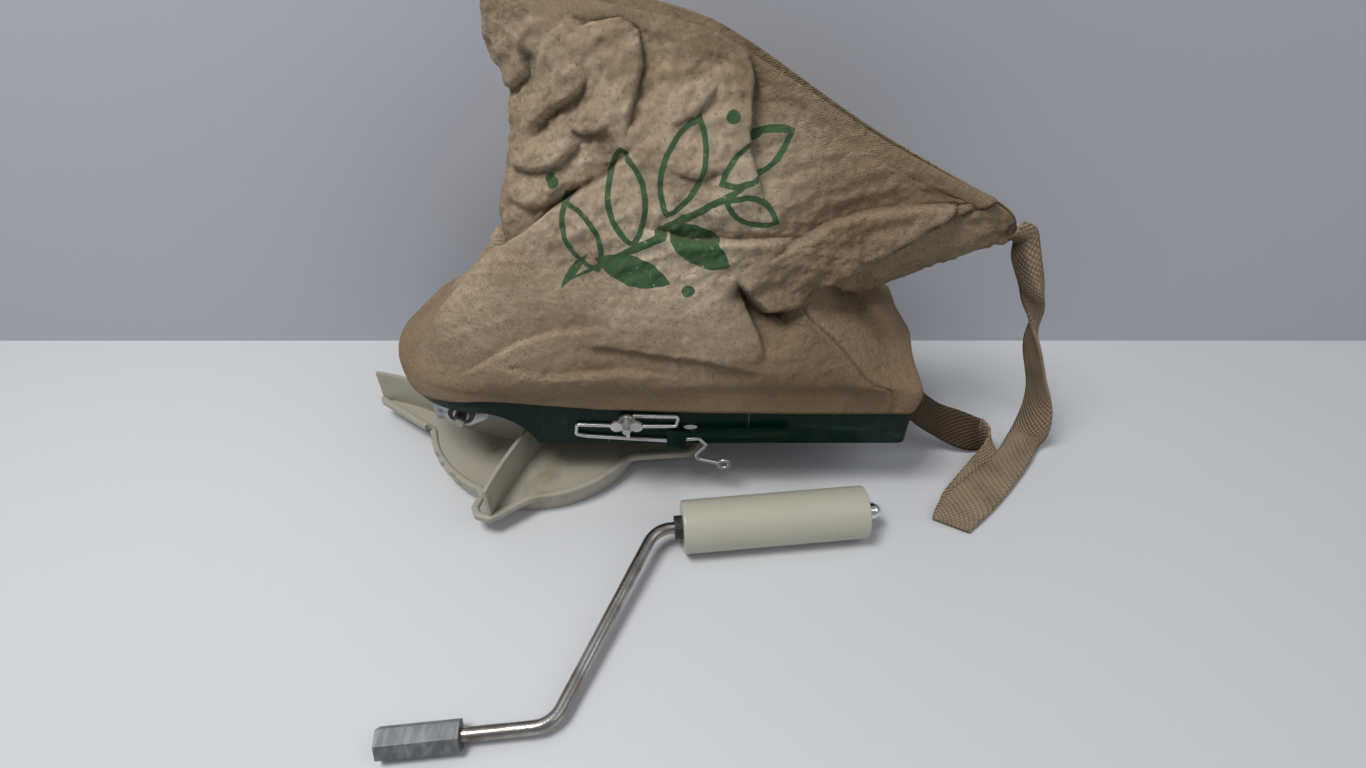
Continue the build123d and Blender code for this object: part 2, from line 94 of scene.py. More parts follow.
# Light. A broad soft lamp above and to the left of the camera, a weaker one to the
# right, and a pale world.
# Columns: name, place, edge length in metres and power in watts.
LAMPS = (
    ("key_lamp", (-0.40, -0.40, 1.45), 0.5, 16),
    ("fill_lamp", (1.1, -0.5, 1.1), 1.0, 3),
)
for lamp_name, lamp_place, lamp_size, lamp_power in LAMPS:
    bpy.ops.object.light_add(type="AREA", location=lamp_place)
    lamp = bpy.context.object
    lamp.name = lamp_name
    lamp.data.size = lamp_size
    lamp.data.energy = lamp_power
    aim = -lamp.location.normalized()
    lamp.rotation_euler = aim.to_track_quat("-Z", "Y").to_euler()
WORLD_COLOUR = (0.88, 0.92, 1.0, 1)
WORLD_STRENGTH = 0.29
world = bpy.data.worlds.new("pale_room")
bpy.context.scene.world = world
world.use_nodes = True
world.node_tree.nodes["Background"].inputs["Color"].default_value = WORLD_COLOUR
world.node_tree.nodes["Background"].inputs["Strength"].default_value = WORLD_STRENGTH

# Seed pan, gate and rails. Pressed sheet steel in dark green gloss paint, rubbed and
# dusty in patches, with fine pale scratches.


def new_group(name, inputs, outputs):
    """An empty node group with its sockets, and its own input and output nodes."""
    group = bpy.data.node_groups.new(name, "ShaderNodeTree")
    for sockets, way in ((inputs, "INPUT"), (outputs, "OUTPUT")):
        for socket_name, kind in sockets:
            group.interface.new_socket(socket_name, in_out=way, socket_type="NodeSocket" + kind)
    return group, group.nodes.new("NodeGroupInput"), group.nodes.new("NodeGroupOutput")


def patches_group():
    """A node group: patches of dust, wear or stain with soft edges, as a mask."""
    group, start, end = new_group(
        "patches",
        (("Place", "Vector"), ("Stretch", "Vector"), ("Scale", "Float"), ("Detail", "Float"),
         ("None Below", "Float"), ("Full Above", "Float")),
        (("Mask", "Float"),),
    )
    mapping = group.nodes.new("ShaderNodeMapping")
    noise = group.nodes.new("ShaderNodeTexNoise")
    ramp = group.nodes.new("ShaderNodeMapRange")
    for source, target in (
        (start.outputs["Place"], mapping.inputs["Vector"]),
        (start.outputs["Stretch"], mapping.inputs["Scale"]),
        (mapping.outputs["Vector"], noise.inputs["Vector"]),
        (start.outputs["Scale"], noise.inputs["Scale"]),
        (start.outputs["Detail"], noise.inputs["Detail"]),
        (noise.outputs["Fac"], ramp.inputs["Value"]),
        (start.outputs["None Below"], ramp.inputs["From Min"]),
        (start.outputs["Full Above"], ramp.inputs["From Max"]),
        (ramp.outputs["Result"], end.inputs["Mask"]),
    ):
        group.links.new(source, target)
    return group


patches = patches_group()


def noise_mask(material, scale, low, high, detail=4.0, stretch=(1, 1, 1)):
    """Places the patches group in a material and returns its mask."""
    tree = material.node_tree
    place = tree.nodes.new("ShaderNodeTexCoord")
    layer = tree.nodes.new("ShaderNodeGroup")
    layer.node_tree = patches
    for name, value in (
        ("Stretch", stretch), ("Scale", scale), ("Detail", detail),
        ("None Below", low), ("Full Above", high),
    ):
        layer.inputs[name].default_value = value
    tree.links.new(place.outputs["Object"], layer.inputs["Place"])
    return layer.outputs["Mask"]


def tint(material, base, over, mask, amount=1.0):
    """Lays a colour over another where a mask is, and returns the colour's socket."""
    tree = material.node_tree
    mix = tree.nodes.new("ShaderNodeMix")
    mix.data_type = "RGBA"
    strength = tree.nodes.new("ShaderNodeMath")
    strength.operation = "MULTIPLY"
    strength.inputs[1].default_value = amount
    tree.links.new(mask, strength.inputs[0])
    tree.links.new(strength.outputs[0], mix.inputs["Factor"])
    if isinstance(base, tuple):
        mix.inputs["A"].default_value = (*base, 1)
    else:
        tree.links.new(base, mix.inputs["A"])
    if isinstance(over, tuple):
        mix.inputs["B"].default_value = (*over, 1)
    else:
        tree.links.new(over, mix.inputs["B"])
    return mix.outputs["Result"]


def rising_mask(material, value, none, full):
    """A 0 to 1 mask from a value's socket: nothing at none, all at full."""
    tree = material.node_tree
    ramp = tree.nodes.new("ShaderNodeMapRange")
    ramp.inputs["From Min"].default_value = none
    ramp.inputs["From Max"].default_value = full
    tree.links.new(value, ramp.inputs["Value"])
    return ramp.outputs["Result"]


def roughness_from(material, shader, mask, clean, dirty):
    """Drives a shader's roughness from a mask, from its clean to its dirty value."""
    tree = material.node_tree
    spread = tree.nodes.new("ShaderNodeMapRange")
    spread.inputs["To Min"].default_value = clean
    spread.inputs["To Max"].default_value = dirty
    tree.links.new(mask, spread.inputs["Value"])
    tree.links.new(spread.outputs["Result"], shader.inputs["Roughness"])


def bump_from(material, shader, height, distance, strength=1.0):
    """Adds a bump of a depth in metres from a height mask to a shader's normal."""
    tree = material.node_tree
    bump = tree.nodes.new("ShaderNodeBump")
    bump.inputs["Distance"].default_value = distance
    bump.inputs["Strength"].default_value = strength
    tree.links.new(height, bump.inputs["Height"])
    before = shader.inputs["Normal"]
    if before.is_linked:
        tree.links.new(before.links[0].from_socket, bump.inputs["Normal"])
    tree.links.new(bump.outputs["Normal"], shader.inputs["Normal"])


GREEN = (0.0015, 0.014, 0.008)
green_finish, green_shader = plain_finish("green_gloss_paint", GREEN, 0.28)
green_shader.inputs["Specular IOR Level"].default_value = 0.14
green_dust = noise_mask(green_finish, 38, 0.52, 0.78, detail=8)
green_rub = noise_mask(green_finish, 160, 0.62, 0.70, detail=3, stretch=(0.25, 0.25, 1.6))
green_colour = tint(green_finish, GREEN, (0.020, 0.040, 0.026), green_dust, 0.25)
green_colour = tint(green_finish, green_colour, (0.04, 0.09, 0.06), green_rub, 0.25)
# Bare bright metal on the wall beside the gate's lug, and a few pale scratches.
BARE_SPOT = (0.1140, -0.0610, 0.0655)
BARE_HALF_SIZES = (0.0046, 0.0015, 0.0020)
green_tree = green_finish.node_tree
green_place = green_tree.nodes.new("ShaderNodeTexCoord")
rub_spot = green_tree.nodes.new("ShaderNodeVectorMath")
rub_spot.operation = "SUBTRACT"
rub_spot.inputs[1].default_value = BARE_SPOT
rub_size = green_tree.nodes.new("ShaderNodeVectorMath")
rub_size.operation = "DIVIDE"
rub_size.inputs[1].default_value = BARE_HALF_SIZES
rub_far = green_tree.nodes.new("ShaderNodeVectorMath")
rub_far.operation = "LENGTH"
green_tree.links.new(green_place.outputs["Object"], rub_spot.inputs[0])
green_tree.links.new(rub_spot.outputs["Vector"], rub_size.inputs[0])
green_tree.links.new(rub_size.outputs["Vector"], rub_far.inputs[0])
rub_mask = rising_mask(green_finish, rub_far.outputs["Value"], 1.1, 0.9)
green_colour = tint(green_finish, green_colour, (0.62, 0.62, 0.60), rub_mask, 0.9)
green_scratch = noise_mask(green_finish, 75, 0.70, 0.73, detail=2, stretch=(4.0, 1.0, 0.22))
green_colour = tint(green_finish, green_colour, (0.12, 0.15, 0.12), green_scratch, 0.35)
green_tree.links.new(green_colour, green_shader.inputs["Base Color"])
roughness_from(green_finish, green_shader, green_dust, 0.24, 0.5)
bump_from(green_finish, green_shader, noise_mask(green_finish, 55, 0.3, 0.7), 0.0003, 0.3)


def finish_node(material, *names):
    """Gives carried-over pieces a finish in place of their plain one."""
    for name in names:
        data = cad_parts[name].data
        data.materials.clear()
        data.materials.append(material)


finish_node(green_finish, "seed_pan", "feed_gate", "gate_rail_front", "gate_rail_back")

# Gear housing. A dull cast metal case, closed round the gears and fixed under the pan's
# shallow floor. The photo doesn't show it.
case_finish, case_shader = plain_finish("dull_casting", (0.30, 0.31, 0.32), 0.55)
case_shader.inputs["Metallic"].default_value = 0.6
case_dirt = noise_mask(case_finish, 60, 0.45, 0.75, detail=8)
case_colour = tint(case_finish, (0.30, 0.31, 0.32), (0.10, 0.08, 0.06), case_dirt, 0.6)
case_finish.node_tree.links.new(case_colour, case_shader.inputs["Base Color"])
bump_from(case_finish, case_shader, noise_mask(case_finish, 420, 0.3, 0.7), 0.0002, 0.5)
finish_node(case_finish, "gear_housing")

# Bearing plate, stop wire and wing nut. Zinc-plated steel, the plate dull and greasy
# in patches, the wire and nut brighter.
plate_finish, plate_shader = plain_finish("dull_zinc_sheet", (0.50, 0.52, 0.53), 0.45)
plate_shader.inputs["Metallic"].default_value = 0.55
plate_dirt = noise_mask(plate_finish, 130, 0.42, 0.68, detail=8)
plate_colour = tint(plate_finish, (0.52, 0.54, 0.55), (0.12, 0.10, 0.08), plate_dirt, 0.75)
plate_finish.node_tree.links.new(plate_colour, plate_shader.inputs["Base Color"])
roughness_from(plate_finish, plate_shader, plate_dirt, 0.35, 0.65)
bump_from(plate_finish, plate_shader, noise_mask(plate_finish, 600, 0.3, 0.7), 0.0001, 0.5)
finish_node(plate_finish, "bearing_plate")

wire_finish, wire_shader = plain_finish("zinc_wire", (0.62, 0.63, 0.62), 0.3)
wire_shader.inputs["Metallic"].default_value = 0.85
wire_dirt = noise_mask(wire_finish, 90, 0.5, 0.75, detail=4)
wire_colour = tint(wire_finish, (0.60, 0.60, 0.58), (0.28, 0.25, 0.21), wire_dirt, 0.5)
wire_finish.node_tree.links.new(wire_colour, wire_shader.inputs["Base Color"])
roughness_from(wire_finish, wire_shader, wire_dirt, 0.22, 0.42)
finish_node(wire_finish, "stop_wire", "wing_bolt", "wing_nut")

# Grommet and collar. A greasy black rubber ring, pushed into the bearing plate round the
# crank shaft, and the black ring beside the crank's grip.
rubber_finish, rubber_shader = plain_finish("black_rubber", (0.015, 0.015, 0.016), 0.5)
rubber_grime = noise_mask(rubber_finish, 260, 0.5, 0.75, detail=6)
rubber_colour = tint(rubber_finish, (0.014, 0.014, 0.015), (0.06, 0.05, 0.04), rubber_grime, 0.6)
rubber_finish.node_tree.links.new(rubber_colour, rubber_shader.inputs["Base Color"])
bump_from(rubber_finish, rubber_shader, noise_mask(rubber_finish, 500, 0.3, 0.7), 0.0004, 0.8)
finish_node(rubber_finish, "shaft_grommet", "crank_collar")

# Bare steel: crank shaft, spindle and its nut, and the bent rod of the crank, all
# tarnished brown in patches and rubbed bright between.
steel_finish, steel_shader = plain_finish("tarnished_steel", (0.34, 0.32, 0.29), 0.3)
steel_shader.inputs["Metallic"].default_value = 1.0
steel_tarnish = noise_mask(steel_finish, 45, 0.42, 0.66, detail=8)
steel_colour = tint(steel_finish, (0.42, 0.40, 0.37), (0.13, 0.10, 0.075), steel_tarnish, 0.8)
steel_finish.node_tree.links.new(steel_colour, steel_shader.inputs["Base Color"])
roughness_from(steel_finish, steel_shader, steel_tarnish, 0.22, 0.42)
bump_from(steel_finish, steel_shader, noise_mask(steel_finish, 900, 0.3, 0.7), 0.0001, 0.4)
finish_node(steel_finish, "crank_shaft", "spindle", "spindle_nut", "crank_rod")

# Spinner. One piece of cream plastic, moulded, gone yellow and brown in patches from
# seed and dust.
CREAM = (0.36, 0.335, 0.27)
cream_finish, cream_shader = plain_finish("aged_cream_plastic", CREAM, 0.42)
cream_shader.inputs["Subsurface Weight"].default_value = 0.08
cream_shader.inputs["Subsurface Radius"].default_value = (0.004, 0.003, 0.002)
cream_yellow = noise_mask(cream_finish, 14, 0.35, 0.7, detail=6)
cream_stain = noise_mask(cream_finish, 45, 0.56, 0.72, detail=8)
cream_speck = noise_mask(cream_finish, 420, 0.70, 0.76, detail=2)
cream_colour = tint(cream_finish, CREAM, (0.37, 0.335, 0.25), cream_yellow, 0.6)
cream_colour = tint(cream_finish, cream_colour, (0.20, 0.14, 0.075), cream_stain, 0.55)
cream_colour = tint(cream_finish, cream_colour, (0.10, 0.07, 0.04), cream_speck, 0.6)
cream_finish.node_tree.links.new(cream_colour, cream_shader.inputs["Base Color"])
roughness_from(cream_finish, cream_shader, cream_stain, 0.36, 0.6)
bump_from(cream_finish, cream_shader, noise_mask(cream_finish, 70, 0.3, 0.7), 0.0005, 0.35)
finish_node(cream_finish, "spinner")

# Crank. The coupler is grey sawn steel, the nut at the grip's end is bright chrome and
# the grip is smooth ivory plastic with a few dark knocks.
coupler_finish, coupler_shader = plain_finish("grey_sawn_steel", (0.14, 0.15, 0.155), 0.5)
coupler_shader.inputs["Metallic"].default_value = 0.5
coupler_wear = noise_mask(coupler_finish, 140, 0.45, 0.7, detail=8, stretch=(1.5, 0.25, 1))
coupler_colour = tint(coupler_finish, (0.13, 0.14, 0.145), (0.30, 0.31, 0.31), coupler_wear, 0.7)
coupler_finish.node_tree.links.new(coupler_colour, coupler_shader.inputs["Base Color"])
bump_from(coupler_finish, coupler_shader, coupler_wear, 0.0003, 0.6)
finish_node(coupler_finish, "crank_coupler")
chrome_finish, chrome_shader = plain_finish("bright_chrome", (0.75, 0.76, 0.77), 0.12)
chrome_shader.inputs["Metallic"].default_value = 1.0
chrome_haze = noise_mask(chrome_finish, 260, 0.5, 0.8, detail=6)
roughness_from(chrome_finish, chrome_shader, chrome_haze, 0.08, 0.3)
finish_node(chrome_finish, "crank_nut")
IVORY = (0.45, 0.44, 0.355)
ivory_finish, ivory_shader = plain_finish("ivory_grip_plastic", IVORY, 0.32)
ivory_shader.inputs["Subsurface Weight"].default_value = 0.15
ivory_shader.inputs["Subsurface Radius"].default_value = (0.006, 0.005, 0.003)
ivory_cloud = noise_mask(ivory_finish, 16, 0.35, 0.7, detail=4)
ivory_dirt = noise_mask(ivory_finish, 90, 0.60, 0.8, detail=8)
ivory_colour = tint(ivory_finish, IVORY, (0.44, 0.425, 0.33), ivory_cloud, 0.6)
ivory_colour = tint(ivory_finish, ivory_colour, (0.34, 0.29, 0.20), ivory_dirt, 0.2)
ivory_finish.node_tree.links.new(ivory_colour, ivory_shader.inputs["Base Color"])
roughness_from(ivory_finish, ivory_shader, ivory_dirt, 0.3, 0.5)
finish_node(ivory_finish, "crank_grip")

# Seed bag. Unbleached cotton canvas, gathered round the pan's rim below and drawn up to
# a long slanted mouth with a stitched hem. It is one cloth, shaped row by row.
MM = 0.001
# The front's rows of points from hem to mouth, in millimetres. Columns: left seam, five
# points along the front, right seam, end panel.
BAG_ROWS = (
    ((-81, 0, 104), (-57, -50, 110), (-10, -66, 112), (70, -67, 113),
     (138, -67, 113), (195, -66, 112), (229, -64, 110), (266, 0, 104)),
    ((-50, 0, 127), (-27, -45, 158), (29, -58, 158), (83, -62, 153),
     (137, -62, 150), (180, -58, 143), (204, -52, 135), (245, 0, 128)),
    ((-17, 0, 160), (4, -38, 190), (44, -50, 190), (90, -54, 184),
     (139, -53, 176), (170, -47, 165), (186, -40, 152), (228, 0, 139)),
    ((-1, 0, 214), (23, -32, 226), (57, -42, 222), (101, -46, 212),
     (147, -44, 199), (188, -40, 182), (214, -30, 164), (242, 0, 142)),
    ((11, 0, 250), (35, -26, 253), (64, -34, 251), (107, -38, 240),
     (155, -34, 222), (208, -31, 199), (243, -24, 180), (276, -4, 158)),
    ((11, 0, 276), (35, -18, 277), (65, -26, 277), (107, -28, 270),
     (154, -24, 250), (219, -22, 215), (271, -20, 198), (300, -8, 174)),
    ((3, 0, 297), (30, -13, 303), (66, -17, 302), (107, -17, 294),
     (146, -14, 276), (219, -13, 232), (287, -18, 207), (311, -12, 184)),
    ((6, -1, 322), (36, -6, 322), (78, -9, 316), (112, -9, 308),
     (143, -8, 294), (221, -8, 246), (296, -14, 208), (313, -12, 190)),
)
# The mouth's back lip, from the right end back to the left.
BACK_LIP = (
    (299, -11, 206), (222, -3, 246), (145, -1, 296), (115, -1, 311), (78, -1, 320), (36, 1, 325),
)
# Where each column starts along the rim's outline, and the hem's height along X.
RIM_SPOTS = (0, 50, 100, 196, 276, 341, 372, 452)
HALF_ROUND = RIM_SPOTS[-1]
HEM_HEIGHTS = (
    (-90, 82), (-68, 83), (-50, 88), (-25, 91), (-8, 90.5), (14, 88), (54, 84), (120, 81),
    (185, 80), (270, 80),
)
# The rim's outline: its round end's radius and centre, its corner's radius and its end.
RIM_RADIUS, RIM_CENTRE_X, RIM_CORNER, RIM_RIGHT = 61, -26, 7, 263
# The cloth's gap to the rim at the hem and above it, and the height where it leaves it.
HEM_GAP, LEAVING_GAP, LEAVING_Z = 1.5, 1.7, 97.5
# The cloth behind, made from each row of the front. Columns: how far it is drawn in beside
# the left seam, its depth as a share of the front's and as an amount added, its rise as
# a share of the front's depth and as an amount added.
BACK_ROWS = (
    (2, -0.92, 0, 0, 0), (20, -0.92, 0, 0, 0), (20, -0.92, 0, 0, 0), (12, -0.92, 0, 0, 0),
    (4, -0.92, 0, 0, 0), (0, -0.75, 0, 0.5, 0), (0, 1, 13, 0, -2),
)
# Folds of the front. Columns: lift and reach of the side to the left of the line's way,
# lift and reach of its right side, then the line as (X, Z).
BAG_FOLDS = (
    (-10, 8, 6, 34, ((-58, 120), (-53, 128), (-48, 135), (-41, 144), (-34, 153), (-25, 164),
        (-13, 176), (7, 195), (32, 216), (48, 226), (66, 236), (73, 243), (90, 257))),
    (2, 22, -7, 8, ((22, 247), (26, 258), (37, 268), (53, 278), (60, 288))),
    (1, 10, -6, 8, ((9, 270), (16, 275), (23, 282), (22, 297))),
    (-6, 9, 2, 20, ((44, 316), (52, 312), (57, 308), (65, 310), (77, 311), (86, 306), (88, 293),
        (85, 283), (80, 268), (76, 254))),
    (2, 14, -5, 9, ((4, 230), (25, 236), (39, 242), (54, 256))),
    (2, 12, -4, 9, ((2, 212), (22, 217), (35, 221), (52, 232))),
    (2, 8, -6, 7, ((46, 260), (54, 258), (61, 259), (70, 263))),
    (-8, 10, 4, 26, ((140, 297), (144, 289), (148, 280), (146, 266), (144, 252))),
    (4, 30, -4, 16, ((156, 218), (151, 232), (146, 248), (145, 272))),
    (5, 18, -6, 15, ((296, 206), (250, 208), (219, 207), (194, 203), (174, 193), (158, 188))),
    (-5, 8, 5, 14, ((80, 211), (99, 206), (112, 201), (131, 200), (143, 199), (165, 198),
        (178, 196))),
    (6, 14, -14, 12, ((141, 178), (151, 166), (161, 157), (172, 157), (186, 152))),
    (-7, 11, 4, 16, ((145, 174), (149, 160), (155, 144), (160, 128))),
    (4, 14, -9, 12, ((181, 158), (191, 163), (203, 171), (215, 176), (227, 181), (249, 194),
        (271, 207), (287, 212))),
    (3, 12, -4, 9, ((200, 160), (219, 144), (241, 124), (255, 108))),
    (-3, 12, 2, 18, ((-34, 112), (-27, 116), (9, 139), (34, 148), (66, 151))),
    (2, 14, -3, 12, ((44, 141), (58, 138), (88, 133), (119, 129), (160, 118))),
    (-2, 10, 3, 12, ((-10, 124), (24, 118), (70, 120), (104, 116))),
    (2, 10, -3, 9, ((100, 262), (116, 268), (128, 280))),
    (2, 9, -3, 8, ((104, 240), (118, 236), (132, 240))),
)


def rim_point(arc, gap):
    """A point on the outline a gap outside the pan's rim, counted from its left end."""
    radius, corner, right = RIM_RADIUS + gap, RIM_CORNER + gap, RIM_RIGHT + gap
    quarter = math.pi / 2 * radius
    straight = right - corner - RIM_CENTRE_X
    bend = math.pi / 2 * corner
    arc *= (quarter + straight + bend + radius - corner) / HALF_ROUND
    if arc <= quarter:
        return RIM_CENTRE_X - radius * math.cos(arc / radius), -radius * math.sin(arc / radius)
    if arc <= quarter + straight:
        return RIM_CENTRE_X + arc - quarter, -radius
    turn = (arc - quarter - straight) / corner
    if arc <= quarter + straight + bend:
        return right - corner + corner * math.sin(turn), corner - radius - corner * math.cos(turn)
    return right, corner - radius + arc - quarter - straight - bend


def through(before, start, end, after, part):
    """A point part of the way from start to end on the smooth line through all four."""
    return 0.5 * (
        2 * start + (end - before) * part + (2 * before - 5 * start + 4 * end - after) * part ** 2
        + (3 * start - before - 3 * end + after) * part ** 3
    )


# Mesh steps from each column and each row of points to the next one.
COLUMN_STEPS = (28, 30, 38, 34, 34, 26, 26, 14, 12, 12, 14, 14, 14, 18)
ROW_STEPS = (5, 8, 22, 22, 22, 20, 16, 12, 16)
columns = np.concatenate([k + np.arange(n) / n for k, n in enumerate(COLUMN_STEPS)])
count = len(COLUMN_STEPS)
loops = [[(0, 0, 0)] * count, [(0, 0, 0)] * count]
for row, (pulled, deeper, deep_more, steeper, up_more) in zip(BAG_ROWS, BACK_ROWS):
    behind_row = [
        (x, deeper * y + deep_more, z + steeper * y + up_more) for x, y, z in row[-2:0:-1]
    ]
    x, y, z = behind_row[-1]
    behind_row[-1] = (x + pulled, y, z)
    loops.append([*row, *behind_row])
loops.append([*BAG_ROWS[-1], *BACK_LIP])
loops = np.array(loops, float)
first = columns.astype(int)
fine = through(
    loops[:, first - 1], loops[:, first], loops[:, (first + 1) % count],
    loops[:, (first + 2) % count], (columns - first)[None, :, None],
)
whole_round = 2 * HALF_ROUND
all_spots = [*RIM_SPOTS, *(whole_round - spot for spot in RIM_SPOTS[-2:0:-1]), whole_round]
for j, spot in enumerate(np.interp(columns, range(count + 1), all_spots)):
    side = 1 if spot <= HALF_ROUND else -1
    x, y = rim_point(min(spot, whole_round - spot), HEM_GAP)
    fine[0, j] = x, side * y, np.interp(x, *zip(*HEM_HEIGHTS))
    x, y = rim_point(min(spot, whole_round - spot), LEAVING_GAP)
    fine[1, j] = x, side * y, LEAVING_Z
rows = np.concatenate(
    [k + np.arange(n) / n for k, n in enumerate(ROW_STEPS)] + [[len(ROW_STEPS)]]
)
lower = np.minimum(rows.astype(int), len(loops) - 2)
cloth = through(
    fine[np.maximum(lower - 1, 0)], fine[lower], fine[lower + 1],
    fine[np.minimum(lower + 2, len(loops) - 1)], (rows - lower)[:, None, None],
)


def outward(grid):
    """Unit normals of the closed rows of points, pointing out of the bag."""
    along = np.roll(grid, -1, 1) - np.roll(grid, 1, 1)
    up = np.gradient(grid, axis=0)
    normal = np.cross(along, up)
    return normal / np.maximum(np.linalg.norm(normal, axis=2, keepdims=True), 1e-9)


def beside(points, line):
    """Signed distance from each (X, Z) point to a line, and how far along it that is."""
    line = np.array(line, float)
    spans = np.linalg.norm(np.diff(line, axis=0), axis=1)
    starts = np.concatenate([[0], np.cumsum(spans)])
    best = np.full(points.shape[:-1], 1e9)
    place = np.zeros(points.shape[:-1])
    for a, b, span, start in zip(line[:-1], line[1:], spans, starts):
        way = (b - a) / span
        rel = points - a
        part = np.clip(rel @ way, 0, span)
        off = rel - part[..., None] * way
        far = np.hypot(off[..., 0], off[..., 1])
        side = np.sign(way[0] * rel[..., 1] - way[1] * rel[..., 0])
        nearer = far < np.abs(best)
        best = np.where(nearer, far * np.where(side == 0, 1, side), best)
        place = np.where(nearer, (start + part) / starts[-1], place)
    return best, place


def ease(value, low, high):
    """0 below low, 1 above high and smooth between."""
    part = np.clip((value - low) / (high - low), 0, 1)
    return part * part * (3 - 2 * part)


# Folds: how sharply one falls off, half the width of its crest, the width of the painted
# shade line in a sunk one and the depth at which that shade is full.
FOLD_FALL, CREST_HALF, SHADE_LINE_WIDTH, FULL_SHADE_DEPTH = 1.25, 1.1, 5, 9
front = ease(columns, -0.15, 0.1) * (1 - ease(columns, 7.2, 7.6)) + ease(columns, 13.7, 13.95)
face = cloth[..., (0, 2)]
lift = np.zeros(cloth.shape[:2])
shade = np.zeros(cloth.shape[:2])
for high_left, reach_left, high_right, reach_right, line in BAG_FOLDS:
    off, place = beside(face, line)
    ends = ease(place, -0.02, 0.2) * (1 - ease(place, 0.8, 1.02)) * front
    left_side = high_left * np.exp(-((np.abs(off) / reach_left) ** FOLD_FALL))
    right_side = high_right * np.exp(-((np.abs(off) / reach_right) ** FOLD_FALL))
    blend = ease(-off, -CREST_HALF, CREST_HALF)
    lift += ends * (left_side * (1 - blend) + right_side * blend)
    # Painted shade: a dark line along each sunk fold, darker the deeper the fold.
    depth = np.where(off > 0, min(high_left, 0), min(high_right, 0))
    dark = depth * np.exp(-((off / SHADE_LINE_WIDTH) ** 2))
    shade = np.maximum(shade, -dark * ends / FULL_SHADE_DEPTH)
# Small ripples all over, larger to the sides and behind, and calmer low on the front.
# Columns: length and height. The short ones are sharp creases and only in front.
RIPPLES = ((62, 1.5), (41, 1.2), (27, 0.9), (17, 0.55), (11, 0.32), (7, 0.16))
WAVES_OF_EACH = 4
CREASES_BELOW = 30
ripple = np.random.default_rng(7)
ripple_place = np.stack([cloth[..., 0], cloth[..., 2] * 1.3, cloth[..., 1] * 1.7], -1)
warp = 6 * np.sin(ripple_place @ np.array([0.031, 0.043, 0.027]) + 1.3)
calm = 1 - 0.55 * front * (1 - ease(rows, 3.2, 4.6)[:, None])
for size, high in RIPPLES:
    for _ in range(WAVES_OF_EACH):
        way = ripple.normal(size=3)
        way /= np.linalg.norm(way)
        turns = (ripple_place @ way + warp) * 2 * math.pi / size
        wave = np.sin(turns + ripple.uniform(0, 6.3))
        if size < CREASES_BELOW:
            lift += calm * high * 0.5 * (1 - 2 * np.abs(wave) ** 0.8) * front
        else:
            lift += calm * high * 0.45 * wave
# Behind, soft folds run from the mouth down to the rim.
behind = ease(columns, 7.6, 8.4) * (1 - ease(columns, 13.0, 13.8))
up = rows[:, None]
drape = np.sin(columns * 6.4 + 0.9 * np.sin(up * 0.9)) + 0.6 * np.sin(columns * 3.1 + up * 0.5)
lift += 2.2 * drape * behind * ease(up, 2, 5)
# Everything fades out at the rim, at the mouth and low beside the left seam.
free = ease(up, 0.9, 2.3) * (1 - 0.8 * ease(up, len(loops) - 2.2, len(loops) - 1.1))
from_left = np.minimum(columns, np.abs(count - columns))
free = free * (1 - 0.85 * np.exp(-((from_left / 0.45) ** 2)) * (1 - ease(up, 3.6, 4.8)))
cloth = cloth + outward(cloth) * (lift * free)[..., None]
# The right seam: a sunk line beside the end panel, and higher up an edge over it.
RIGHT_SEAM = 6
by_seam = columns[None, :] - RIGHT_SEAM
edge_high = ease(up, 4.0, 5.0)
edge_front = 3.0 * edge_high * np.exp(by_seam * 5)
edge_side = -2.5 * edge_high * np.exp(-by_seam * 6)
seam_lift = np.where(by_seam < 0, edge_front, edge_side)
seam_lift = seam_lift - 1.6 * (1 - edge_high) * np.exp(-((by_seam / 0.05) ** 2))
seam_lift = seam_lift * (np.abs(by_seam) < 0.98) * ease(up, 0.6, 1.4)
cloth = cloth + outward(cloth) * seam_lift[..., None]
# The mouth's folded hem: a thicker band with a sunk line of stitches at its foot.
steps_up = np.linalg.norm(np.diff(cloth, axis=0), axis=2)
from_mouth = np.cumsum(steps_up[::-1], axis=0)[::-1]
from_mouth = np.concatenate([from_mouth, np.zeros((1, len(columns)))])
band = 0.9 * (1 - ease(from_mouth, 12, 14)) - 0.7 * np.exp(-(((from_mouth - 11) / 1.4) ** 2))
cloth = cloth + outward(cloth) * band[..., None]

bag_mesh = bpy.data.meshes.new("canvas_bag")
high, around = cloth.shape[:2]
faces = []
for low in range(0, (high - 1) * around, around):
    for j in range(around):
        after = (j + 1) % around
        faces.append((low + j, low + after, low + around + after, low + around + j))
bag_mesh.from_pydata((cloth.reshape(-1, 3) * MM).tolist(), [], faces)
run = np.linalg.norm(np.diff(cloth[:, list(range(around)) + [0]], axis=1), axis=2).mean(0)
rise = np.linalg.norm(np.diff(cloth, axis=0), axis=2).mean(1)
run = np.concatenate([[0], np.cumsum(run)]) * MM
rise = np.concatenate([[0], np.cumsum(rise)]) * MM
flat = bag_mesh.uv_layers.new(name="cut")
uvs = np.empty((len(faces), 4, 2))
spots_j = np.tile(np.arange(around), high - 1)
spots_k = np.repeat(np.arange(high - 1), around)
for corner, (step_j, step_k) in enumerate(((0, 0), (1, 0), (1, 1), (0, 1))):
    uvs[:, corner, 0] = run[spots_j + step_j]
    uvs[:, corner, 1] = rise[spots_k + step_k]
flat.data.foreach_set("uv", uvs.ravel())
MM_TO_A_COLUMN = 40
by_seam_mm = np.abs(np.broadcast_to(by_seam, cloth.shape[:2])) * MM_TO_A_COLUMN
for name, values in (
    ("from_mouth", from_mouth), ("crease_shade", shade), ("by_seam", by_seam_mm),
    ("front_side", np.broadcast_to(front, cloth.shape[:2])),
):
    layer = bag_mesh.attributes.new(name, "FLOAT", "POINT")
    layer.data.foreach_set("value", np.ascontiguousarray(values, dtype=np.float32).ravel())
